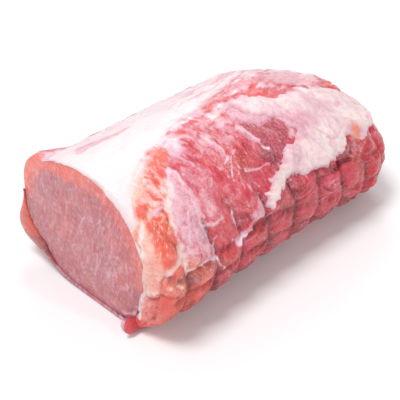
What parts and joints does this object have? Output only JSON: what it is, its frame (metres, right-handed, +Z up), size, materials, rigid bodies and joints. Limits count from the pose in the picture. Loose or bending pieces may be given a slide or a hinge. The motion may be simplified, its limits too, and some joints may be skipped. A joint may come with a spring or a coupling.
{
  "type": "boneless pork roast",
  "caption": "Raw boneless pork loin roast: a lean eye at a straight cut, a white fat cap, a net-marked side muscle and a rounded far end wrapped in fat.",
  "frame": {"origin": "middle of the roast's length and width, on the surface it lies on", "axes": "+X along the roast from the cut face to the rounded far end, +Z up, -Y the side with the deepest net marks"},
  "size_m": [0.1998, 0.1163, 0.0866],
  "materials": {
    "lean_eye": "moist cut lean meat, fine pale grain, muted pink",
    "white_fat": "smooth moist white back fat",
    "side_lean": "moist red-pink lean with pale membranes and net marks",
    "under_lean": "moist salmon-pink lean",
    "end_lean": "moist darker red lean with net marks",
    "cream_fat": "cream fat with lilac shading and a ragged edge"
  },
  "bodies": {
    "root": {"loin_eye": "lean_eye", "fat_cap": "white_fat", "side_muscle": "side_lean", "under_layer": "under_lean", "end_muscle": "end_lean", "end_fat": "cream_fat"}
  },
  "joints": []
}
